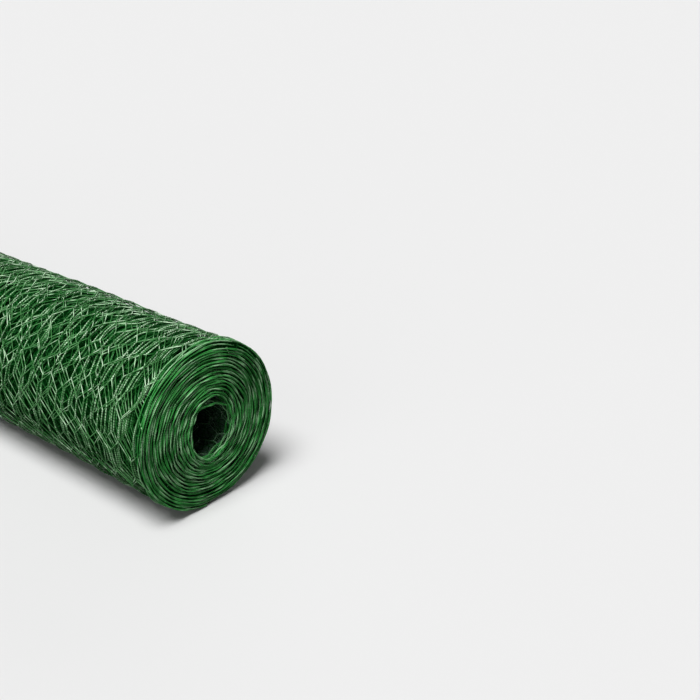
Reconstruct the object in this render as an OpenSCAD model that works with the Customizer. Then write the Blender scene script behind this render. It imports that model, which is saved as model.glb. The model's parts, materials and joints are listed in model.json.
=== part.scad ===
// Roll of hexagonal wire netting, plastic coated, wound on itself and lying on its side.
// The wound netting is one turned body with an open bore. At both ends the edge wire of
// every turn stands up as a rounded ring, with a gap between it and the next turn.
// X runs along the roll, Z is up, and the roll rests on Z = 0 under its middle.

/* [Netting] */
// Width of the netting, which is the length of the roll
netting_width = 1000; // [300:50:1800]
// Length of netting that is wound on the roll
netting_length = 5000; // [2000:500:25000]
// Diameter of the wire over its coating
wire_d = 1; // [0.6:0.05:1.6]

/* [Winding] */
// Diameter of the open bore that the first turn leaves
bore_d = 40; // [20:1:80]
// Space left between one turn and the next
winding_slack = 0.65; // [0.3:0.05:2]

/* [Ends] */
// How far the gaps between the turns reach in from the end
gap_depth = 7; // [4:0.5:20]
// How far the edges of the turns stray back from the end
edge_stray = 1.6; // [0:0.1:2.4]

/* [Hidden] */
$fn = 96;

// The netting's edge is two wires twisted together, so a turn is two wires thick there
edge_r = wire_d;
turn_pitch = 2 * edge_r + winding_slack;
first_turn_r = bore_d / 2 + edge_r;

// The turns' lengths add up to the netting: PI * turn_pitch * n^2 + start_term * n = netting_length
start_term = 2 * PI * first_turn_r - PI * turn_pitch;
turns = round((sqrt(pow(start_term, 2) + 4 * PI * turn_pitch * netting_length) - start_term)
              / (2 * PI * turn_pitch));
outer_r = first_turn_r + (turns - 1) * turn_pitch + edge_r;

// The turns stray to and fro by an angle that never repeats from one turn to the next
stray_step = 137.5;

// Radius at the middle of a turn, counted from the bore
function turn_r(turn) = first_turn_r + turn * turn_pitch;

// How far back from the end a turn's edge lies; the first turn reaches the end
function edge_setback(turn) = edge_stray * (1 - cos(stray_step * turn)) / 2;

// Section of one turn: a strip along the roll with the round edge wire at both ends
module turn_section(turn) {
    strip = netting_width - 2 * edge_setback(turn) - 2 * edge_r;
    translate([turn_r(turn), 0]) {
        square([2 * edge_r, strip], center = true);
        for (end = [-1, 1])
            translate([0, end * strip / 2])
                circle(r = edge_r);
    }
}

// Section of the middle of the roll, where the turns lie on each other
module packed_section() {
    translate([bore_d / 2, gap_depth - netting_width / 2])
        square([outer_r - bore_d / 2, netting_width - 2 * gap_depth]);
}

module netting_roll() {
    color("forestgreen")
        translate([0, 0, outer_r])
            rotate([0, 90, 0])
                rotate_extrude() {
                    packed_section();
                    for (turn = [0 : turns - 1])
                        turn_section(turn);
                }
}

netting_roll();
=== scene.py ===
"""A roll of green plastic-coated hexagonal wire netting, wound from its wires and lying on its side."""

import json
import math

import bpy
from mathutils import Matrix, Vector


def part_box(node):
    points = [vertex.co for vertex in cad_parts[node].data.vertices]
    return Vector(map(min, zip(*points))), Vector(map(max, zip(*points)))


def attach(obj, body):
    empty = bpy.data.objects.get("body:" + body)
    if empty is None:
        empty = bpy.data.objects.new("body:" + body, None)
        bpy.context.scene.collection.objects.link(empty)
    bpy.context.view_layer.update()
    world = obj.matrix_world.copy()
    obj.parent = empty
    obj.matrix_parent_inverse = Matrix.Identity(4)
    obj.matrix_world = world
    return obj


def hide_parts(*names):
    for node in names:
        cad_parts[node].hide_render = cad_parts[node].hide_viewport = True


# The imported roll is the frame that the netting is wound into. Its box gives the width of the netting and
# the outside of the roll, and its bore gives the place of the first turn.
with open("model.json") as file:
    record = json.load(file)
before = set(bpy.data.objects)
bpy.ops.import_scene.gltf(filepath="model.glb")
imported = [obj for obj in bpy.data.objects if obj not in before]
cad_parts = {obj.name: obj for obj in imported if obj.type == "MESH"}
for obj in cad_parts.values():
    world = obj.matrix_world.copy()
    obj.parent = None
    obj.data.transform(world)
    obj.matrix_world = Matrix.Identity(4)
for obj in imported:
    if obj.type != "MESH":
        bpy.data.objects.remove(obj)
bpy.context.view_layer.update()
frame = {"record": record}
roll_low, roll_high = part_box("netting_roll")
bore_mount = frame["record"]["mounts"][0]
MM = 0.001
ROLL_R = (roll_high.z - roll_low.z) / 2
AXIS_Z = (roll_high.z + roll_low.z) / 2
BORE_R = bore_mount["dims"]["r_mm"] * MM
NETTING_W = roll_high.x - roll_low.x


# The coating on the wire. Soft PVC is extruded over galvanised steel wire, which gives an even satin
# green, a little mottled. Pale streaks along the wires are painted highlights, most of all on their upper
# sides, where the lamp overhead falls, and wires further into the roll are copies of it in darker painted
# shade.
def linear(hex_colour):
    """An sRGB hex colour as linear RGBA."""
    channels = [int(hex_colour[i:i + 2], 16) / 255 for i in (1, 3, 5)]
    return [c / 12.92 if c <= 0.04045 else ((c + 0.055) / 1.055) ** 2.4 for c in channels] + [1]


def add_node(tree, kind, settings=None, inputs=None):
    """Adds a node with its settings, and links or sets its inputs by name or by place."""
    node = tree.nodes.new(kind)
    for name, value in (settings or {}).items():
        setattr(node, name, value)
    for key, value in (inputs or {}).items():
        if isinstance(value, bpy.types.Node):
            value = value.outputs[0]
        if isinstance(value, bpy.types.NodeSocket):
            tree.links.new(value, node.inputs[key])
        else:
            node.inputs[key].default_value = value
    return node


# A range is where along its noise or wave a pattern starts and where it is full
PVC_IOR = 1.53
PVC_ROUGHNESS = (0.14, 0.3)
ROUGHNESS_RANGE = (0.3, 0.7)
MOTTLE_SIZE = 30 * MM
MOTTLE_RANGE = (0.35, 0.65)
# The pale streaks of painted highlight are this long, and start and fill over this range of their noise
HIGHLIGHT_STREAK_LENGTH = 9 * MM
EDGE_HIGHLIGHT_STREAK_LENGTH = 30 * MM
HIGHLIGHT_STREAK_RANGE = (0.49, 0.63)
UPPER_SIDE = (-0.2, 0.6)
ROW_PITCH = 29.9 * MM
TWIST_LENGTH = 18.5 * MM
TWIST_TURNS = 5.0
# How dark the painted shade in a twist's grooves is, and where along the crossing it fades
GROOVE_SHADE = 0.12
GROOVE_RANGE = (0.1, 0.7)


def coat_wire(name, green, dark, highlight_green, highlight_share, highlight_below, gloss, streak_length=HIGHLIGHT_STREAK_LENGTH):
    """A coating of these greens, with shares of painted highlight streaks on a wire's upper side and below
    it.
    """
    material = bpy.data.materials.new(name)
    material.use_nodes = True
    shading = material.node_tree
    shading.nodes.clear()
    place = add_node(shading, "ShaderNodeTexCoord").outputs["Object"]
    mottle = add_node(shading, "ShaderNodeTexNoise", inputs={
        "Vector": place, "Scale": 1 / MOTTLE_SIZE, "Detail": 3.0})
    greens = add_node(shading, "ShaderNodeValToRGB", inputs={"Fac": mottle})
    for stop, position, shade in zip(greens.color_ramp.elements, MOTTLE_RANGE, (dark, green)):
        stop.position = position
        stop.color = linear(shade)

    # Painted highlights: pale streaks run along each wire on its own, by the place and the number that it
    # carries, and more of them on its upper side, where the lamp overhead falls
    carried = add_node(shading, "ShaderNodeAttribute", {"attribute_name": "wire_place"})
    wire_place = carried.outputs["Vector"]
    streak_place = add_node(shading, "ShaderNodeVectorMath", {"operation": "MULTIPLY"}, {
        0: wire_place, 1: (1 / streak_length, 1.0, 1.0)})
    highlight_streaks = add_node(shading, "ShaderNodeTexNoise", inputs={"Vector": streak_place, "Scale": 1.0, "Detail": 2.0})
    facing = add_node(shading, "ShaderNodeNewGeometry").outputs["Normal"]
    facing_up = add_node(shading, "ShaderNodeSeparateXYZ", inputs={0: facing}).outputs["Z"]
    highlight_most = add_node(shading, "ShaderNodeMapRange", inputs={
        "Value": facing_up, "From Min": UPPER_SIDE[0], "From Max": UPPER_SIDE[1],
        "To Min": highlight_below, "To Max": highlight_share})
    highlighted = add_node(shading, "ShaderNodeMapRange", inputs={
        "Value": highlight_streaks, "From Min": HIGHLIGHT_STREAK_RANGE[0], "From Max": HIGHLIGHT_STREAK_RANGE[1],
        "To Min": 0.0, "To Max": highlight_most})
    colour = add_node(shading, "ShaderNodeMix", {"data_type": "RGBA"}, {
        0: highlighted, 6: greens, 7: linear(highlight_green)})

    # Where the two wires of a twist cross, the groove between them gets painted shade
    along_wire = add_node(shading, "ShaderNodeSeparateXYZ", inputs={0: wire_place}).outputs["X"]
    rows_along = add_node(shading, "ShaderNodeMath", {"operation": "DIVIDE"}, {0: along_wire, 1: ROW_PITCH})
    part_of_row = add_node(shading, "ShaderNodeMath", {"operation": "FRACT"}, {0: rows_along})
    in_twist = add_node(shading, "ShaderNodeMath", {"operation": "LESS_THAN"}, {
        0: part_of_row, 1: TWIST_LENGTH / ROW_PITCH})
    twist_angle = add_node(shading, "ShaderNodeMath", {"operation": "MULTIPLY"}, {
        0: part_of_row, 1: 2 * math.pi * TWIST_TURNS * ROW_PITCH / TWIST_LENGTH})
    crossing = add_node(shading, "ShaderNodeMath", {"operation": "SINE"}, {0: twist_angle})
    clear_of_crossing = add_node(shading, "ShaderNodeMath", {"operation": "ABSOLUTE"}, {0: crossing})
    groove_shade = add_node(shading, "ShaderNodeMapRange", inputs={
        "Value": clear_of_crossing, "From Min": GROOVE_RANGE[0], "From Max": GROOVE_RANGE[1],
        "To Min": in_twist, "To Max": 0.0})
    groove_shaded = add_node(shading, "ShaderNodeMix", {"data_type": "RGBA", "blend_type": "MULTIPLY"}, {
        0: groove_shade, 6: colour.outputs[2], 7: (GROOVE_SHADE, GROOVE_SHADE, GROOVE_SHADE, 1)})
    roughness = add_node(shading, "ShaderNodeMapRange", inputs={
        "Value": highlight_streaks, "From Min": ROUGHNESS_RANGE[0], "From Max": ROUGHNESS_RANGE[1],
        "To Min": PVC_ROUGHNESS[0], "To Max": PVC_ROUGHNESS[1]})
    coating = add_node(shading, "ShaderNodeBsdfPrincipled", inputs={
        "Base Color": groove_shaded.outputs[2], "Roughness": roughness, "IOR": PVC_IOR,
        "Specular IOR Level": gloss})
    add_node(shading, "ShaderNodeOutputMaterial", inputs={"Surface": coating})
    return material


coated_wire = coat_wire("pvc_coated_wire", green="#6AA86B", dark="#3B8040", highlight_green="#DCFFD8",
                        highlight_share=1.0, highlight_below=0.35, gloss=0.02)
# Copies of the coating in painted shade, darker the further into the roll their turns lie
coated_lower_shaded = coat_wire("pvc_coated_wire_shaded_below", green="#5E9C5F", dark="#337638", highlight_green="#D2FFCF",
                         highlight_share=0.95, highlight_below=0.35, gloss=0.02)
coated_under_shaded = coat_wire("pvc_coated_wire_shaded_under", green="#256F2E", dark="#114A18", highlight_green="#6DB574",
                         highlight_share=0.8, highlight_below=0.35, gloss=0.01)
coated_deep_shaded = coat_wire("pvc_coated_wire_shaded_deep", green="#0C4513", dark="#052809", highlight_green="#2E6E34",
                        highlight_share=0.6, highlight_below=0.3, gloss=0.0)
# The edge wires carry longer streaks of painted highlight, on every side alike
coated_edge = coat_wire("pvc_coated_edge_wire", green="#50B25A", dark="#2C7D36", highlight_green="#B6E8B5",
                        highlight_share=0.75, highlight_below=0.75, gloss=0.02, streak_length=EDGE_HIGHLIGHT_STREAK_LENGTH)
# A duller, greyer copy of the coating in painted shade, for the turns deep in the bore
coated_bore_shaded = coat_wire("pvc_coated_wire_shaded_in_bore", green="#5C8F64", dark="#3D6644", highlight_green="#86A88B",
                        highlight_share=0.6, highlight_below=0.6, gloss=0.2)


# The winding. The netting leaves the loom flat and is wound up on itself, so a place on it is given across
# its width, along its length and by its height off the sheet, and is carried to the spiral. The outer turns
# settle into the hexagons of the turns below them, shift a little, and lie flat on the floor.
WIRE_D = 0.76 * MM
EDGE_WIRE_D = 1 * MM
TURNS = 17.63
FIRST_TURN_R = BORE_R + EDGE_WIRE_D
LAST_TURN_R = ROLL_R - EDGE_WIRE_D
TURN_PITCH = (LAST_TURN_R - FIRST_TURN_R) / TURNS
START_ANGLE = math.radians(42)
WINDING_SEED = 4.0
MESH_W = 25 * MM
ROWS_PER_TURN = 13.908
TURN_LENGTH = ROWS_PER_TURN * ROW_PITCH
NESTED_TURNS = 11
NESTING = 0.2
FLARE_START = 12 * MM
FLARE_END = 3 * MM
BORE_TURNS = 3


def add_inputs(tree, kind, values):
    """Gives a tree named inputs of one kind, with their usual values."""
    for name, value in values.items():
        socket = tree.interface.new_socket(name, in_out="INPUT", socket_type=kind)
        socket.default_value = value


winding = bpy.data.node_groups.new("place_on_spiral", "GeometryNodeTree")
add_inputs(winding, "NodeSocketFloat", {
    "Across": 0.0, "Along": 0.0, "Height": 0.0, "First Turn Radius": FIRST_TURN_R, "Turn Pitch": TURN_PITCH,
    "Turn Length": TURN_LENGTH, "Axis Height": AXIS_Z, "Start Angle": START_ANGLE, "Nesting": NESTING,
    "Floor Clearance": WIRE_D / 2, "Seed": WINDING_SEED})
winding.interface.new_socket("Position", in_out="OUTPUT", socket_type="NodeSocketVector")
flat = winding.nodes.new("NodeGroupInput").outputs

# In the body the turns nest in each other, and near the ends the thicker edges hold them apart
off_middle = add_node(winding, "ShaderNodeMath", {"operation": "ABSOLUTE"}, {0: flat["Across"]})
in_body = add_node(winding, "ShaderNodeMapRange", {"interpolation_type": "SMOOTHSTEP"}, {
    "Value": off_middle, "From Min": NETTING_W / 2 - FLARE_START, "From Max": NETTING_W / 2 - FLARE_END,
    "To Min": 1.0, "To Max": 0.0})

# Each turn's own unevenness, from where it lies on the flat netting
TURN_WAVE = 150 * MM
TURN_WAVE_ROUGHNESS = 0.55
EDGE_STRAY = (7 * MM, 4 * MM, 1.2 * MM)
BODY_STRAY = (24 * MM, 46 * MM, 4 * MM)
STRAY_REACH = 130 * MM
NOISE_MIDDLE = 0.5
sheet_point = add_node(winding, "ShaderNodeCombineXYZ", inputs={
    "X": flat["Across"], "Y": flat["Along"], "Z": flat["Seed"]})
turn_wave = add_node(winding, "ShaderNodeTexNoise", inputs={
    "Vector": sheet_point, "Scale": 1 / TURN_WAVE, "Detail": 3.0,
    "Roughness": TURN_WAVE_ROUGHNESS})
turn_shift = add_node(winding, "ShaderNodeVectorMath", {"operation": "SUBTRACT"}, {
    0: turn_wave.outputs["Color"], 1: (NOISE_MIDDLE,) * 3})
from_ends = add_node(winding, "ShaderNodeMapRange", {"interpolation_type": "SMOOTHSTEP"}, {
    "Value": off_middle, "From Min": NETTING_W / 2 - STRAY_REACH, "From Max": NETTING_W / 2 - FLARE_END,
    "To Min": 1.0, "To Max": 0.0})
stray = add_node(winding, "ShaderNodeMix", {"data_type": "VECTOR"}, {
    0: from_ends, 4: EDGE_STRAY, 5: BODY_STRAY})
flat_place = add_node(winding, "ShaderNodeCombineXYZ", inputs={
    "X": flat["Across"], "Y": flat["Along"], "Z": flat["Height"]})
uneven = add_node(winding, "ShaderNodeVectorMath", {"operation": "MULTIPLY_ADD"}, {
    0: turn_shift, 1: stray.outputs[1], 2: flat_place})
uneven_parts = add_node(winding, "ShaderNodeSeparateXYZ", inputs={0: uneven}).outputs

# The spiral. Each turn takes about as many rows as the one below it, so that their hexagons lie in register
wound_length = add_node(winding, "ShaderNodeMath", {"operation": "MAXIMUM"}, {0: uneven_parts["Y"], 1: 0.0})
turns_wound = add_node(winding, "ShaderNodeMath", {"operation": "DIVIDE"}, {
    0: wound_length, 1: flat["Turn Length"]})
radius = add_node(winding, "ShaderNodeMath", {"operation": "MULTIPLY_ADD"}, {
    0: turns_wound, 1: flat["Turn Pitch"], 2: flat["First Turn Radius"]})
turned = add_node(winding, "ShaderNodeMath", {"operation": "MULTIPLY"}, {0: turns_wound, 1: 2 * math.pi})
even_angle = add_node(winding, "ShaderNodeMath", {"operation": "ADD"}, {0: turned, 1: flat["Start Angle"]})

# Between the ends each turn has crept from the one below it, in some patches of the roll more than in
# others. The first turns stay where they are, at the bore
BORE_BLEND = 0.3
CREEP = 2.75 * MM
CREEP_REACH = 60 * MM
CREEP_PATCH = 75 * MM
CREEP_SPREAD = (6 * MM, 6 * MM, 0)
below_outside = add_node(winding, "ShaderNodeMath", {"operation": "SUBTRACT"}, {0: TURNS, 1: turns_wound})
creep_room = add_node(winding, "ShaderNodeMapRange", {"interpolation_type": "SMOOTHSTEP"}, {
    "Value": off_middle, "From Min": NETTING_W / 2 - CREEP_REACH, "From Max": NETTING_W / 2 - FLARE_END,
    "To Min": 1.0, "To Max": 0.0})
off_bore = add_node(winding, "ShaderNodeMapRange", {"interpolation_type": "SMOOTHSTEP"}, {
    "Value": turns_wound, "From Min": BORE_TURNS, "From Max": BORE_TURNS + BORE_BLEND,
    "To Min": 0.0, "To Max": 1.0})
free_turns = add_node(winding, "ShaderNodeMath", {"operation": "MULTIPLY"}, {
    0: below_outside, 1: creep_room})
creep_turns = add_node(winding, "ShaderNodeMath", {"operation": "MULTIPLY"}, {0: free_turns, 1: off_bore})
patch_y = add_node(winding, "ShaderNodeMath", {"operation": "COSINE"}, {0: even_angle})
patch_z = add_node(winding, "ShaderNodeMath", {"operation": "SINE"}, {0: even_angle})
roll_lengths = add_node(winding, "ShaderNodeMath", {"operation": "DIVIDE"}, {0: flat["Across"], 1: ROLL_R})
patch_place = add_node(winding, "ShaderNodeCombineXYZ", inputs={
    "X": roll_lengths, "Y": patch_y, "Z": patch_z})
patch_noise = add_node(winding, "ShaderNodeTexNoise", {"noise_dimensions": "4D"}, {
    "Vector": patch_place, "W": flat["Seed"], "Scale": ROLL_R / CREEP_PATCH, "Detail": 1.0})
patch_off = add_node(winding, "ShaderNodeVectorMath", {"operation": "SUBTRACT"}, {
    0: patch_noise.outputs["Color"], 1: (NOISE_MIDDLE,) * 3})
patch_creep = add_node(winding, "ShaderNodeVectorMath", {"operation": "MULTIPLY_ADD"}, {
    0: patch_off, 1: CREEP_SPREAD, 2: (CREEP, 0, 0)})
crept = add_node(winding, "ShaderNodeVectorMath", {"operation": "MULTIPLY"}, {
    0: patch_creep, 1: creep_turns})
crept_parts = add_node(winding, "ShaderNodeSeparateXYZ", inputs={0: crept}).outputs
angle = add_node(winding, "ShaderNodeMath", {"operation": "MULTIPLY_ADD"}, {
    0: crept_parts["Y"], 1: 1 / ROLL_R, 2: even_angle})
sideways = add_node(winding, "ShaderNodeMath", {"operation": "COSINE"}, {0: angle})
upwards = add_node(winding, "ShaderNodeMath", {"operation": "SINE"}, {0: angle})

# The nested turns lie close under the outside
from_outside = add_node(winding, "ShaderNodeMath", {"operation": "SUBTRACT"}, {0: radius, 1: LAST_TURN_R})
nested_r = add_node(winding, "ShaderNodeMath", {"operation": "MULTIPLY_ADD"}, {
    0: from_outside, 1: flat["Nesting"], 2: LAST_TURN_R})
nested = add_node(winding, "ShaderNodeMath", {"operation": "MULTIPLY"}, {0: in_body, 1: off_bore})

# The outer turns are drawn in a little, so that the ends of the roll are slightly domed
DRAWN_IN = 3 * MM
outwards = add_node(winding, "ShaderNodeMath", {"operation": "DIVIDE"}, {0: turns_wound, 1: TURNS})
drawn_in = add_node(winding, "ShaderNodeMath", {"operation": "MULTIPLY_ADD"}, {
    0: outwards, 1: -2 * DRAWN_IN / NETTING_W, 2: 1.0})
domed_x = add_node(winding, "ShaderNodeMath", {"operation": "MULTIPLY"}, {
    0: uneven_parts["X"], 1: drawn_in})
place_x = add_node(winding, "ShaderNodeMath", {"operation": "ADD"}, {0: crept_parts["X"], 1: domed_x})

# At the ends the turns are pressed out of their spiral until the outside is round, all but a dip just
# past the free end, where the last turn drops to the one below it
RIM_DIP = 0.16
past_free_end = add_node(winding, "ShaderNodeMath", {"operation": "SUBTRACT"}, {0: turns_wound, 1: TURNS})
part_past = add_node(winding, "ShaderNodeMath", {"operation": "FRACT"}, {0: past_free_end})
short_of_round = add_node(winding, "ShaderNodeMath", {"operation": "SUBTRACT"}, {0: 1.0, 1: part_past})
clear_of_dip = add_node(winding, "ShaderNodeMapRange", inputs={
    "Value": part_past, "From Min": 0.0, "From Max": RIM_DIP, "To Min": 0.0, "To Max": TURN_PITCH})
pressed = add_node(winding, "ShaderNodeMath", {"operation": "MULTIPLY"}, {
    0: short_of_round, 1: clear_of_dip})
end_r = add_node(winding, "ShaderNodeMath", {"operation": "MULTIPLY_ADD"}, {
    0: pressed, 1: outwards, 2: radius})
lying_r = add_node(winding, "ShaderNodeMix", {"data_type": "FLOAT"}, {0: nested, 2: end_r, 3: nested_r})

# The stiff start of the netting does not take the bend, and runs straight across the edge of the bore
CHORD_SPAN = math.radians(75)
in_chord = add_node(winding, "ShaderNodeMath", {"operation": "MINIMUM"}, {0: turned, 1: CHORD_SPAN})
from_mid_chord = add_node(winding, "ShaderNodeMath", {"operation": "SUBTRACT"}, {
    0: in_chord, 1: CHORD_SPAN / 2})
chord_bow = add_node(winding, "ShaderNodeMath", {"operation": "COSINE"}, {0: from_mid_chord})
chord_part = add_node(winding, "ShaderNodeMath", {"operation": "DIVIDE"}, {
    0: math.cos(CHORD_SPAN / 2), 1: chord_bow})
start_r = add_node(winding, "ShaderNodeMath", {"operation": "MULTIPLY"}, {
    0: lying_r.outputs[0], 1: chord_part})

# Turns bunch together in some places and leave gaps in others
BUNCH_SIZE = 7 * MM
BUNCH_WAVES = 1.6
BUNCH_SHIFT = 5 * MM
BUNCH_LENGTH = 80 * MM
RIM_TURNS = 3
RIM_BUNCHING = 0.3
bunch_r = add_node(winding, "ShaderNodeMath", {"operation": "DIVIDE"}, {0: radius, 1: BUNCH_SIZE})
bunch_y = add_node(winding, "ShaderNodeMath", {"operation": "MULTIPLY"}, {0: sideways, 1: BUNCH_WAVES})
bunch_z = add_node(winding, "ShaderNodeMath", {"operation": "MULTIPLY"}, {0: upwards, 1: BUNCH_WAVES})
bunch_place = add_node(winding, "ShaderNodeCombineXYZ", inputs={"X": bunch_r, "Y": bunch_y, "Z": bunch_z})
bunch_depth = add_node(winding, "ShaderNodeMath", {"operation": "MULTIPLY_ADD"}, {
    0: flat["Across"], 1: 1 / BUNCH_LENGTH, 2: flat["Seed"]})
bunching = add_node(winding, "ShaderNodeTexNoise", {"noise_dimensions": "4D"}, {
    "Vector": bunch_place, "W": bunch_depth, "Scale": 1.0, "Detail": 1.0})
bunch_off = add_node(winding, "ShaderNodeMath", {"operation": "SUBTRACT"}, {0: bunching, 1: NOISE_MIDDLE})
bunch_room = add_node(winding, "ShaderNodeMapRange", inputs={
    "Value": radius, "From Min": LAST_TURN_R - RIM_TURNS * TURN_PITCH, "From Max": LAST_TURN_R - TURN_PITCH,
    "To Min": BUNCH_SHIFT, "To Max": RIM_BUNCHING * BUNCH_SHIFT})
bunched_r = add_node(winding, "ShaderNodeMath", {"operation": "MULTIPLY_ADD"}, {
    0: bunch_off, 1: bunch_room, 2: start_r})

# The loose turns at the bore have settled into an upright oval that hangs a little low
BORE_OVAL = 0.1
BORE_SAG = 1.5 * MM
LOOSE_TURNS = 8
loose = add_node(winding, "ShaderNodeMapRange", {"interpolation_type": "SMOOTHSTEP"}, {
    "Value": turns_wound, "From Min": 0.0, "From Max": LOOSE_TURNS, "To Min": 1.0, "To Max": 0.0})
twice_angle = add_node(winding, "ShaderNodeMath", {"operation": "MULTIPLY"}, {0: angle, 1: 2.0})
oval_wave = add_node(winding, "ShaderNodeMath", {"operation": "COSINE"}, {0: twice_angle})
oval_depth = add_node(winding, "ShaderNodeMath", {"operation": "MULTIPLY"}, {0: oval_wave, 1: loose})
oval_part = add_node(winding, "ShaderNodeMath", {"operation": "MULTIPLY_ADD"}, {
    0: oval_depth, 1: -BORE_OVAL, 2: 1.0})
sagged_axis = add_node(winding, "ShaderNodeMath", {"operation": "MULTIPLY_ADD"}, {
    0: loose, 1: -BORE_SAG, 2: flat["Axis Height"]})
out_from_axis = add_node(winding, "ShaderNodeMath", {"operation": "MULTIPLY_ADD"}, {
    0: bunched_r, 1: oval_part, 2: uneven_parts["Z"]})
place_y = add_node(winding, "ShaderNodeMath", {"operation": "MULTIPLY"}, {0: sideways, 1: out_from_axis})
place_z = add_node(winding, "ShaderNodeMath", {"operation": "MULTIPLY_ADD"}, {
    0: upwards, 1: out_from_axis, 2: sagged_axis})
wound = add_node(winding, "ShaderNodeCombineXYZ", inputs={"X": place_x, "Y": place_y, "Z": place_z})

# What all turns share: they press on each other, so the roll's own lumps run through them
ROLL_LUMP = 90 * MM
ROLL_LUMP_DEPTH = 2 * MM
lump_place = add_node(winding, "ShaderNodeVectorMath", {"operation": "ADD"}, {0: wound, 1: flat["Seed"]})
lumps = add_node(winding, "ShaderNodeTexNoise", inputs={
    "Vector": lump_place, "Scale": 1 / ROLL_LUMP, "Detail": 1.0})
lump_shift = add_node(winding, "ShaderNodeVectorMath", {"operation": "SUBTRACT"}, {
    0: lumps.outputs["Color"], 1: (NOISE_MIDDLE,) * 3})
lumped = add_node(winding, "ShaderNodeVectorMath", {"operation": "MULTIPLY_ADD"}, {
    0: lump_shift, 1: (ROLL_LUMP_DEPTH,) * 3, 2: wound})
lumped_parts = add_node(winding, "ShaderNodeSeparateXYZ", inputs={0: lumped}).outputs
on_floor = add_node(winding, "ShaderNodeMath", {"operation": "MAXIMUM"}, {
    0: lumped_parts["Z"], 1: flat["Floor Clearance"]})
final_place = add_node(winding, "ShaderNodeCombineXYZ", inputs={
    "X": lumped_parts["X"], "Y": lumped_parts["Y"], "Z": on_floor})
add_node(winding, "NodeGroupOutput", inputs={"Position": final_place})


# The netting is woven of coated steel wire. Each wire zigzags along it and twists five turns with its
# neighbour, on the one side in one row and on the other side in the next, which leaves the hexagons. All
# the wires run its full length.
WIRE_SPACING = MESH_W / 2
TWIST_R = 0.5 * WIRE_D
EDGE_SETBACK = 0.8 * MM
WIRES = round(NETTING_W / WIRE_SPACING)
WIRE_SPREAD = (NETTING_W - 2 * EDGE_WIRE_D - 2 * EDGE_SETBACK) / WIRES
ROWS = int(TURNS * ROWS_PER_TURN)
OUTER_POINTS = 21
OUTER_SIDES = 4
WIRE_LOOKS_APART = 7.3


def stretch_wires(tree, wires, points):
    """Stretches this many straight wires, with so many points on each."""
    straight = add_node(tree, "GeometryNodeCurvePrimitiveLine")
    stepped = add_node(tree, "GeometryNodeResampleCurve", inputs={"Curve": straight, "Count": points})
    return add_node(tree, "GeometryNodeDuplicateElements", {"domain": "SPLINE"}, {
        "Geometry": stepped, "Amount": wires})


def wind_wires(tree, wires, across, along, height, wire_r, sides, coat):
    """Lays wires on the spiral, marks the place along each for its coating, and makes them thick."""
    wound_place = add_node(tree, "GeometryNodeGroup", {"node_tree": winding}, {
        "Across": across, "Along": along, "Height": height})
    laid = add_node(tree, "GeometryNodeSetPosition", inputs={"Geometry": wires, "Position": wound_place})
    own_number = add_node(tree, "ShaderNodeMath", {"operation": "MULTIPLY"}, {
        0: wires.outputs["Duplicate Index"], 1: WIRE_LOOKS_APART})
    place_on_wire = add_node(tree, "ShaderNodeCombineXYZ", inputs={"X": along, "Y": own_number})
    marked = add_node(tree, "GeometryNodeStoreNamedAttribute", {"data_type": "FLOAT_VECTOR"}, {
        "Geometry": laid, "Name": "wire_place", "Value": place_on_wire})
    section = add_node(tree, "GeometryNodeCurvePrimitiveCircle", inputs={
        "Resolution": sides, "Radius": wire_r})
    tubes = add_node(tree, "GeometryNodeCurveToMesh", inputs={
        "Curve": marked, "Profile Curve": section, "Fill Caps": True})
    realized = add_node(tree, "GeometryNodeRealizeInstances", inputs={"Geometry": tubes})
    coated = add_node(tree, "GeometryNodeSetMaterial", inputs={"Geometry": realized, "Material": coat})
    add_node(tree, "NodeGroupOutput", inputs={"Geometry": coated})


weave = bpy.data.node_groups.new("weave_netting", "GeometryNodeTree")
weave.interface.new_socket("Geometry", in_out="INPUT", socket_type="NodeSocketGeometry")
add_inputs(weave, "NodeSocketInt", {
    "Wires": WIRES, "First Row": 0, "Rows": ROWS, "Points per Row": OUTER_POINTS, "Sides": OUTER_SIDES})
add_inputs(weave, "NodeSocketFloat", {
    "Wire Diameter": WIRE_D, "Wire Spread": WIRE_SPREAD, "Row Pitch": ROW_PITCH,
    "Twist Length": TWIST_LENGTH, "Twist Turns": TWIST_TURNS, "Twist Radius": TWIST_R})
add_inputs(weave, "NodeSocketMaterial", {"Material": coated_wire})
weave.interface.new_socket("Geometry", in_out="OUTPUT", socket_type="NodeSocketGeometry")
loom = weave.nodes.new("NodeGroupInput").outputs

# The wires of the netting, still straight
point_steps = add_node(weave, "ShaderNodeMath", {"operation": "MULTIPLY_ADD"}, {
    0: loom["Rows"], 1: loom["Points per Row"], 2: 1.0})
warp = stretch_wires(weave, loom["Wires"], point_steps)
wire = warp.outputs["Duplicate Index"]
step = add_node(weave, "GeometryNodeSplineParameter").outputs["Index"]

# The row that a point is in, and how far along the row's twist it lies
row_and_part = add_node(weave, "ShaderNodeMath", {"operation": "DIVIDE"}, {
    0: step, 1: loom["Points per Row"]})
row_of_piece = add_node(weave, "ShaderNodeMath", {"operation": "FLOOR"}, {0: row_and_part})
row = add_node(weave, "ShaderNodeMath", {"operation": "ADD"}, {0: row_of_piece, 1: loom["First Row"]})
step_in_row = add_node(weave, "ShaderNodeMath", {"operation": "MODULO"}, {
    0: step, 1: loom["Points per Row"]})
twist_steps = add_node(weave, "ShaderNodeMath", {"operation": "SUBTRACT"}, {
    0: loom["Points per Row"], 1: 1.0})
twist_part = add_node(weave, "ShaderNodeMath", {"operation": "DIVIDE"}, {0: step_in_row, 1: twist_steps})

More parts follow.
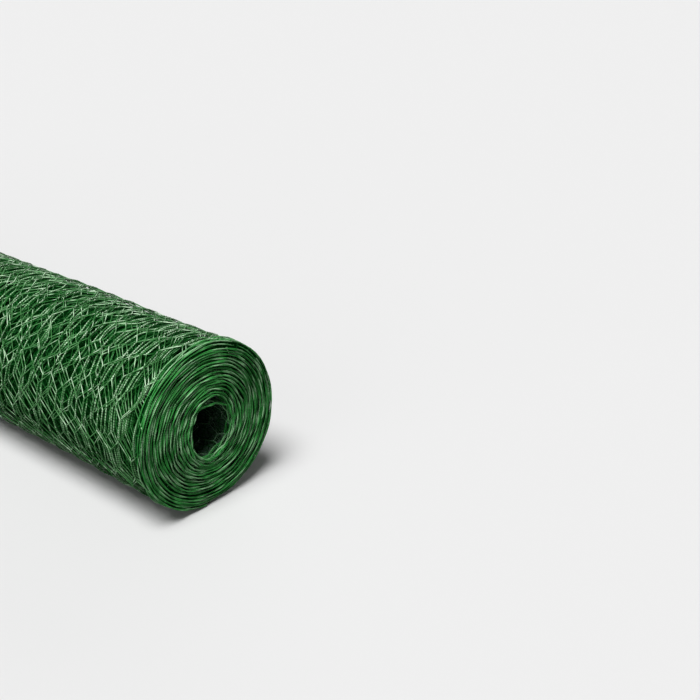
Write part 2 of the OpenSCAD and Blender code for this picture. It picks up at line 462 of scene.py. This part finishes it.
# A wire twists with its right neighbour where its number and the row's are both odd or both even
wire_and_row = add_node(weave, "ShaderNodeMath", {"operation": "ADD"}, {0: wire, 1: row})
with_left = add_node(weave, "ShaderNodeMath", {"operation": "MODULO"}, {0: wire_and_row, 1: 2.0})
half_spread = add_node(weave, "ShaderNodeMath", {"operation": "MULTIPLY_ADD"}, {
    0: loom["Wires"], 1: -0.5, 2: 1.0})
twist_wire = add_node(weave, "ShaderNodeMath", {"operation": "SUBTRACT"}, {0: wire, 1: with_left})
column = add_node(weave, "ShaderNodeMath", {"operation": "ADD"}, {0: twist_wire, 1: half_spread})
half_turns = add_node(weave, "ShaderNodeMath", {"operation": "MULTIPLY"}, {0: loom["Twist Turns"], 1: 2.0})
half_turns_done = add_node(weave, "ShaderNodeMath", {"operation": "MULTIPLY_ADD"}, {
    0: twist_part, 1: half_turns, 2: with_left})
twist_angle = add_node(weave, "ShaderNodeMath", {"operation": "MULTIPLY"}, {0: half_turns_done, 1: math.pi})
wire_r = add_node(weave, "ShaderNodeMath", {"operation": "MULTIPLY"}, {0: loom["Wire Diameter"], 1: 0.5})
left_of_twist = add_node(weave, "ShaderNodeMath", {"operation": "COSINE"}, {0: twist_angle})
over_twist = add_node(weave, "ShaderNodeMath", {"operation": "SINE"}, {0: twist_angle})
to_side = add_node(weave, "ShaderNodeMath", {"operation": "MULTIPLY"}, {
    0: left_of_twist, 1: loom["Twist Radius"]})
height = add_node(weave, "ShaderNodeMath", {"operation": "MULTIPLY"}, {
    0: over_twist, 1: loom["Twist Radius"]})
column_place = add_node(weave, "ShaderNodeMath", {"operation": "MULTIPLY"}, {
    0: column, 1: loom["Wire Spread"]})
across = add_node(weave, "ShaderNodeMath", {"operation": "SUBTRACT"}, {0: column_place, 1: to_side})
along_twist = add_node(weave, "ShaderNodeMath", {"operation": "MULTIPLY"}, {
    0: twist_part, 1: loom["Twist Length"]})
along = add_node(weave, "ShaderNodeMath", {"operation": "MULTIPLY_ADD"}, {
    0: row, 1: loom["Row Pitch"], 2: along_twist})
wind_wires(weave, warp, across, along, height, wire_r, loom["Sides"], loom["Material"])


def make_piece(name, tree, values):
    """Runs a tree with these values and keeps what it makes as a plain mesh that is part of the roll."""
    piece = bpy.data.objects.new(name, bpy.data.meshes.new(name))
    bpy.context.scene.collection.objects.link(piece)
    maker = piece.modifiers.new("maker", "NODES")
    maker.node_group = tree
    for label, value in values.items():
        maker[tree.interface.items_tree[label].identifier] = value
    made = bpy.data.meshes.new_from_object(
        piece.evaluated_get(bpy.context.evaluated_depsgraph_get()))
    piece.modifiers.remove(maker)
    piece.data = made
    made.name = name
    made.shade_smooth()
    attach(piece, "root")
    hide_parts("netting_roll")


# The outer turns are seen best, so their wires have the most points and sides. The turns below them lie
# in three bands of darker painted shade, the turns at the bore are a band too, in painted shade, and those
# between are hidden
OUTER_TURNS = 2
LOWER_TURNS = 6
UNDER_TURNS = 9
bore_rows = round(BORE_TURNS * ROWS_PER_TURN)
nested_from, under_from, lower_from, outer_from = (
    ROWS - round(turns * ROWS_PER_TURN) for turns in (NESTED_TURNS, UNDER_TURNS, LOWER_TURNS, OUTER_TURNS))
BANDS = (
    {"rows": (0, bore_rows), "pieces": 1, "points": 5, "sides": 3, "coat": coated_bore_shaded},
    {"rows": (nested_from, under_from), "pieces": 1, "points": 6, "sides": 3, "coat": coated_deep_shaded},
    {"rows": (under_from, lower_from), "pieces": 1, "points": 6, "sides": 3, "coat": coated_under_shaded},
    {"rows": (lower_from, outer_from), "pieces": 1, "points": 6, "sides": 3, "coat": coated_lower_shaded},
    {"rows": (outer_from, ROWS), "pieces": 2, "points": OUTER_POINTS, "sides": OUTER_SIDES,
     "coat": coated_wire})
band_number = 0
for band in BANDS:
    first_row, end_row = band["rows"]
    for pieces_left in range(band["pieces"], 0, -1):
        band_number += 1
        rows = (end_row - first_row) // pieces_left
        make_piece(f"netting_band_{band_number}", weave, {
            "Wires": WIRES, "First Row": first_row, "Rows": rows, "Points per Row": band["points"],
            "Sides": band["sides"], "Wire Diameter": WIRE_D, "Wire Spread": WIRE_SPREAD,
            "Row Pitch": ROW_PITCH, "Twist Length": TWIST_LENGTH, "Twist Turns": TWIST_TURNS,
            "Twist Radius": TWIST_R, "Material": band["coat"]})
        first_row += rows


# The edge wires. Two wires are twisted together along both edges of the netting, with three more beside
# them, and hold its outer wires. Wound up, they are the rings on the roll's ends.
EDGE_LEAD = 60 * MM
EDGE_STEP = 7 * MM
EDGE_SIDES = 6
EDGE_WIRES = 5
EDGE_SPACING = 2.2 * MM
EDGE_WANDER = 0.3 * MM
edge_length = ROWS * ROW_PITCH
edge_points = round(edge_length / EDGE_STEP)

edging = bpy.data.node_groups.new("twist_edge_wires", "GeometryNodeTree")
edging.interface.new_socket("Geometry", in_out="INPUT", socket_type="NodeSocketGeometry")
add_inputs(edging, "NodeSocketInt", {"Points": edge_points, "Sides": EDGE_SIDES, "Wires": EDGE_WIRES})
add_inputs(edging, "NodeSocketFloat", {
    "Wire Diameter": EDGE_WIRE_D, "Edge Place": NETTING_W / 2, "Spacing": EDGE_SPACING,
    "Length": edge_length, "Lead": EDGE_LEAD})
add_inputs(edging, "NodeSocketMaterial", {"Material": coated_edge})
edging.interface.new_socket("Geometry", in_out="OUTPUT", socket_type="NodeSocketGeometry")
edge = edging.nodes.new("NodeGroupInput").outputs
strands = stretch_wires(edging, edge["Wires"], edge["Points"])
strand = strands.outputs["Duplicate Index"]
part = add_node(edging, "GeometryNodeSplineParameter").outputs["Factor"]
along = add_node(edging, "ShaderNodeMath", {"operation": "MULTIPLY"}, {0: part, 1: edge["Length"]})
leads = add_node(edging, "ShaderNodeMath", {"operation": "DIVIDE"}, {0: along, 1: edge["Lead"]})
half_turns = add_node(edging, "ShaderNodeMath", {"operation": "MULTIPLY_ADD"}, {
    0: leads, 1: 2.0, 2: strand})
twist_angle = add_node(edging, "ShaderNodeMath", {"operation": "MULTIPLY"}, {0: half_turns, 1: math.pi})
wire_r = add_node(edging, "ShaderNodeMath", {"operation": "MULTIPLY"}, {0: edge["Wire Diameter"], 1: 0.5})
beside = add_node(edging, "ShaderNodeMath", {"operation": "COSINE"}, {0: twist_angle})
over = add_node(edging, "ShaderNodeMath", {"operation": "SINE"}, {0: twist_angle})
from_pair = add_node(edging, "ShaderNodeMath", {"operation": "SUBTRACT"}, {0: strand, 1: 1.0})
wires_in = add_node(edging, "ShaderNodeMath", {"operation": "MAXIMUM"}, {0: from_pair, 1: 0.0})
strand_place = add_node(edging, "ShaderNodeMath", {"operation": "MULTIPLY_ADD"}, {
    0: wires_in, 1: edge["Spacing"], 2: edge["Edge Place"]})
across = add_node(edging, "ShaderNodeMath", {"operation": "MULTIPLY_ADD"}, {
    0: beside, 1: wire_r, 2: strand_place})
more_swing = add_node(edging, "ShaderNodeMath", {"operation": "MULTIPLY_ADD"}, {
    0: wires_in, 1: EDGE_WANDER, 2: wire_r})
height = add_node(edging, "ShaderNodeMath", {"operation": "MULTIPLY"}, {0: over, 1: more_swing})
wind_wires(edging, strands, across, along, height, wire_r, edge["Sides"], edge["Material"])

for side, edge_name in ((-1, "edge_wires_far"), (1, "edge_wires_near")):
    make_piece(edge_name, edging, {
        "Points": edge_points, "Sides": EDGE_SIDES, "Wires": EDGE_WIRES,
        "Wire Diameter": EDGE_WIRE_D, "Edge Place": side * (NETTING_W / 2 - EDGE_WIRE_D - EDGE_SETBACK),
        "Spacing": -side * EDGE_SPACING, "Length": edge_length, "Lead": EDGE_LEAD,
        "Material": coated_edge})


# The inner turns. Deep in the roll little light gets between the wires, so they are one dark body around
# the bore, with the lines of netting on it. It shows only between the outer turns and in the bore, and ends
# short of the edge wires.
INNER_SETBACK = 7 * MM
COLLAR_SETBACK = DRAWN_IN + 2.2 * MM
COLLAR_LENGTH = 5 * MM
COLLAR_SLOPE = 6 * MM
COLLAR_DEPTH = 0.4 * MM
INNER_SIDES = 96
INNER_CLEARANCE = 0.7 * MM
inner_r = FIRST_TURN_R + BORE_TURNS * TURN_PITCH + INNER_CLEARANCE
outer_r = LAST_TURN_R - NESTING * NESTED_TURNS * TURN_PITCH - INNER_CLEARANCE
end_x = NETTING_W / 2 - INNER_SETBACK
rim_x = NETTING_W / 2 - COLLAR_SETBACK
collar_x = rim_x - COLLAR_LENGTH
body_x = collar_x - COLLAR_SLOPE
inner_points = []
for k in range(INNER_SIDES):
    turn = 2 * math.pi * k / INNER_SIDES
    past_end = ((turn - START_ANGLE) / (2 * math.pi) - TURNS) % 1
    collar_r = LAST_TURN_R - TURN_PITCH * max(0, 1 - past_end / RIM_DIP) - COLLAR_DEPTH
    inner_profile = [(-rim_x, collar_r), (-collar_x, collar_r), (-body_x, outer_r), (body_x, outer_r),
                     (collar_x, collar_r), (rim_x, collar_r), (end_x, inner_r), (-end_x, inner_r)]
    inner_points += [(x, r * math.cos(turn), AXIS_Z + r * math.sin(turn)) for x, r in inner_profile]
inner_faces = []
corners = len(inner_profile)
for k in range(INNER_SIDES):
    here = k * corners
    there = (k + 1) % INNER_SIDES * corners
    for i in range(corners):
        j = (i + 1) % corners
        inner_faces.append((here + i, here + j, there + j, there + i))
inner_mesh = bpy.data.meshes.new("inner_turns")
inner_mesh.from_pydata(inner_points, [], inner_faces)
inner = bpy.data.objects.new("inner_turns", inner_mesh)
bpy.context.scene.collection.objects.link(inner)

# Its finish is the same coating in painted deep shade, with painted light on the wall of the bore, where
# light gets in. Each layer of lines is one turn of netting, and a lower turn has darker painted shade.
# Places are measured along and around the roll
INNER_GAP_SHADE = "#01300A"
BORE_WALL_PAINTED_LIGHT = "#4C6654"
INNER_WIRES_SHADED = ("#0A2E11", "#123F1A", "#1A5223", "#22642C")
INNER_MESH = 14 * MM
INNER_UNEVEN = 0.7
INNER_LINE = (0.4 * WIRE_D, 0.8 * WIRE_D)
INNER_ROUGHNESS = 0.6
LAYER_SHIFT = (0.137, 0.091, 0)
WALL_SKIN = 0.5 * MM
WALL_FADE = 2 * MM
OUTSIDE_FADE = 8 * MM
netting_deep = bpy.data.materials.new("pvc_coated_wire_in_shade")
netting_deep.use_nodes = True
shade = netting_deep.node_tree
shade.nodes.clear()
place = add_node(shade, "ShaderNodeTexCoord").outputs["Object"]
place_parts = add_node(shade, "ShaderNodeSeparateXYZ", inputs={0: place}).outputs
over_axis = add_node(shade, "ShaderNodeMath", {"operation": "SUBTRACT"}, {0: place_parts["Z"], 1: AXIS_Z})
around = add_node(shade, "ShaderNodeMath", {"operation": "ARCTAN2"}, {0: place_parts["Y"], 1: over_axis})
arc = add_node(shade, "ShaderNodeMath", {"operation": "MULTIPLY"}, {0: around, 1: outer_r})
off_axis = add_node(shade, "ShaderNodeCombineXYZ", inputs={"Y": place_parts["Y"], "Z": over_axis})
reach = add_node(shade, "ShaderNodeVectorMath", {"operation": "LENGTH"}, {0: off_axis})
along_roll = add_node(shade, "ShaderNodeMath", {"operation": "ADD"}, {
    0: place_parts["X"], 1: reach.outputs["Value"]})
sheet = add_node(shade, "ShaderNodeCombineXYZ", inputs={"X": along_roll, "Y": arc})
outside = add_node(shade, "ShaderNodeMapRange", inputs={
    "Value": reach.outputs["Value"], "From Min": inner_r + WALL_FADE, "From Max": outer_r - OUTSIDE_FADE,
    "To Min": 0.0, "To Max": 1.0})
on_bore_wall = add_node(shade, "ShaderNodeMapRange", inputs={
    "Value": reach.outputs["Value"], "From Min": inner_r + WALL_SKIN, "From Max": inner_r + WALL_FADE,
    "To Min": 1.0, "To Max": 0.0})
lined = add_node(shade, "ShaderNodeMath", {"operation": "MAXIMUM"}, {0: outside, 1: on_bore_wall})
walls = add_node(shade, "ShaderNodeMix", {"data_type": "RGBA"}, {
    0: on_bore_wall, 6: linear(INNER_GAP_SHADE), 7: linear(BORE_WALL_PAINTED_LIGHT)})
shade_colour = walls.outputs[2]
for layer, wire_colour in enumerate(INNER_WIRES_SHADED):
    shifted = add_node(shade, "ShaderNodeVectorMath", {"operation": "ADD"}, {
        0: sheet, 1: [layer * shift for shift in LAYER_SHIFT]})
    cells = add_node(shade, "ShaderNodeTexVoronoi", {
        "voronoi_dimensions": "2D", "feature": "DISTANCE_TO_EDGE"}, {
        "Vector": shifted, "Scale": 1 / INNER_MESH, "Randomness": INNER_UNEVEN})
    line = add_node(shade, "ShaderNodeMapRange", inputs={
        "Value": cells, "From Min": INNER_LINE[0] / INNER_MESH, "From Max": INNER_LINE[1] / INNER_MESH,
        "To Min": lined, "To Max": 0.0})
    layered = add_node(shade, "ShaderNodeMix", {"data_type": "RGBA"}, {
        0: line, 6: shade_colour, 7: linear(wire_colour)})
    shade_colour = layered.outputs[2]
shade_coating = add_node(shade, "ShaderNodeBsdfPrincipled", inputs={
    "Base Color": shade_colour, "Roughness": INNER_ROUGHNESS, "Specular IOR Level": 0.0})
add_node(shade, "ShaderNodeOutputMaterial", inputs={"Surface": shade_coating})
inner_mesh.materials.append(netting_deep)
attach(inner, "root")
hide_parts("netting_roll")


# The floor is a plain pale square that keeps the roll's shadow. It throws less light back on the roll than
# it shows, so that the underside stays in shade.
FLOOR_PALE = "#E6E6E6"
FLOOR_BOUNCE = "#7C7C7C"
FLOOR_REACH = 8.0


def seen_in_picture(tree):
    """One for rays that the picture shows, by way of a mirror or glass too, and nought for others."""
    rays = add_node(tree, "ShaderNodeLightPath").outputs
    mirrored = add_node(tree, "ShaderNodeMath", {"operation": "MAXIMUM"}, {
        0: rays["Is Glossy Ray"], 1: rays["Is Transmission Ray"]})
    return add_node(tree, "ShaderNodeMath", {"operation": "MAXIMUM"}, {
        0: mirrored, 1: rays["Is Camera Ray"]})


floor_corners = [(x * FLOOR_REACH, y * FLOOR_REACH, 0) for x, y in ((-1, -1), (1, -1), (1, 1), (-1, 1))]
floor_mesh = bpy.data.meshes.new("floor")
floor_mesh.from_pydata(floor_corners, [], [(0, 1, 2, 3)])
floor = bpy.data.objects.new("floor", floor_mesh)
bpy.context.scene.collection.objects.link(floor)
floor_paint = bpy.data.materials.new("matt_studio_floor")
floor_paint.use_nodes = True
sweep = floor_paint.node_tree
sweep.nodes.clear()
pale = add_node(sweep, "ShaderNodeBsdfDiffuse", inputs={"Color": linear(FLOOR_PALE)})
dull = add_node(sweep, "ShaderNodeBsdfDiffuse", inputs={"Color": linear(FLOOR_BOUNCE)})
matt = add_node(sweep, "ShaderNodeMixShader", inputs={0: seen_in_picture(sweep), 1: dull, 2: pale})
add_node(sweep, "ShaderNodeOutputMaterial", inputs={"Surface": matt})
floor_mesh.materials.append(floor_paint)


# Soft studio light: a wide lamp high over the roll, and two weak ones low in front of it and behind it. The
# surround looks as pale as the floor, and gives just enough light to fill the shadows.
LAMPS = {"soft_overhead": {"level": 3.25, "width": math.radians(32), "from": Vector((0.14, -0.365, 0.92))},
         "soft_in_front": {"level": 0.6, "width": math.radians(60), "from": Vector((0.25, -0.93, 0.2))},
         "soft_behind": {"level": 0.7, "width": math.radians(60), "from": Vector((-0.5, 0.85, 0.1))}}
SURROUND = 0.06
SURROUND_SEEN = 0.86
for name, light in LAMPS.items():
    lamp_data = bpy.data.lights.new(name, "SUN")
    lamp_data.energy = light["level"]
    lamp_data.angle = light["width"]
    lamp = bpy.data.objects.new(name, lamp_data)
    lamp.rotation_euler = light["from"].to_track_quat("Z", "Y").to_euler()
    bpy.context.scene.collection.objects.link(lamp)
surround = bpy.data.worlds.new("pale_surround")
surround.use_nodes = True
sky = surround.node_tree
sky.nodes.clear()
level = add_node(sky, "ShaderNodeMapRange", inputs={
    "Value": seen_in_picture(sky), "To Min": SURROUND, "To Max": SURROUND_SEEN})
even = add_node(sky, "ShaderNodeBackground", inputs={"Color": (1, 1, 1, 1), "Strength": level})
add_node(sky, "ShaderNodeOutputWorld", inputs={"Surface": even})
bpy.context.scene.world = surround
bpy.context.scene.view_settings.view_transform = "Standard"


# The camera stands to the right of the roll's near end and looks down along it.
CAMERA_HEADING = math.radians(40.7)
CAMERA_PITCH = math.radians(24.43)
END_FROM_CAMERA = {"right": -0.10417, "ahead": 0.72490, "up": -0.39236}
LENS_IN_PICTURE_WIDTHS = 1.57161
SENSOR = 36
camera_data = bpy.data.cameras.new("camera")
camera_data.sensor_width = SENSOR
camera_data.lens = LENS_IN_PICTURE_WIDTHS * SENSOR
camera = bpy.data.objects.new("camera", camera_data)
ahead = Vector((-math.sin(CAMERA_HEADING), math.cos(CAMERA_HEADING), 0))
right = Vector((math.cos(CAMERA_HEADING), math.sin(CAMERA_HEADING), 0))
end_centre = Vector((roll_high.x - DRAWN_IN, 0, AXIS_Z))
camera.location = (end_centre - END_FROM_CAMERA["right"] * right - END_FROM_CAMERA["ahead"] * ahead
                   - END_FROM_CAMERA["up"] * Vector((0, 0, 1)))
camera.rotation_euler = (math.pi / 2 - CAMERA_PITCH, 0, CAMERA_HEADING)
bpy.context.scene.collection.objects.link(camera)
bpy.context.scene.camera = camera
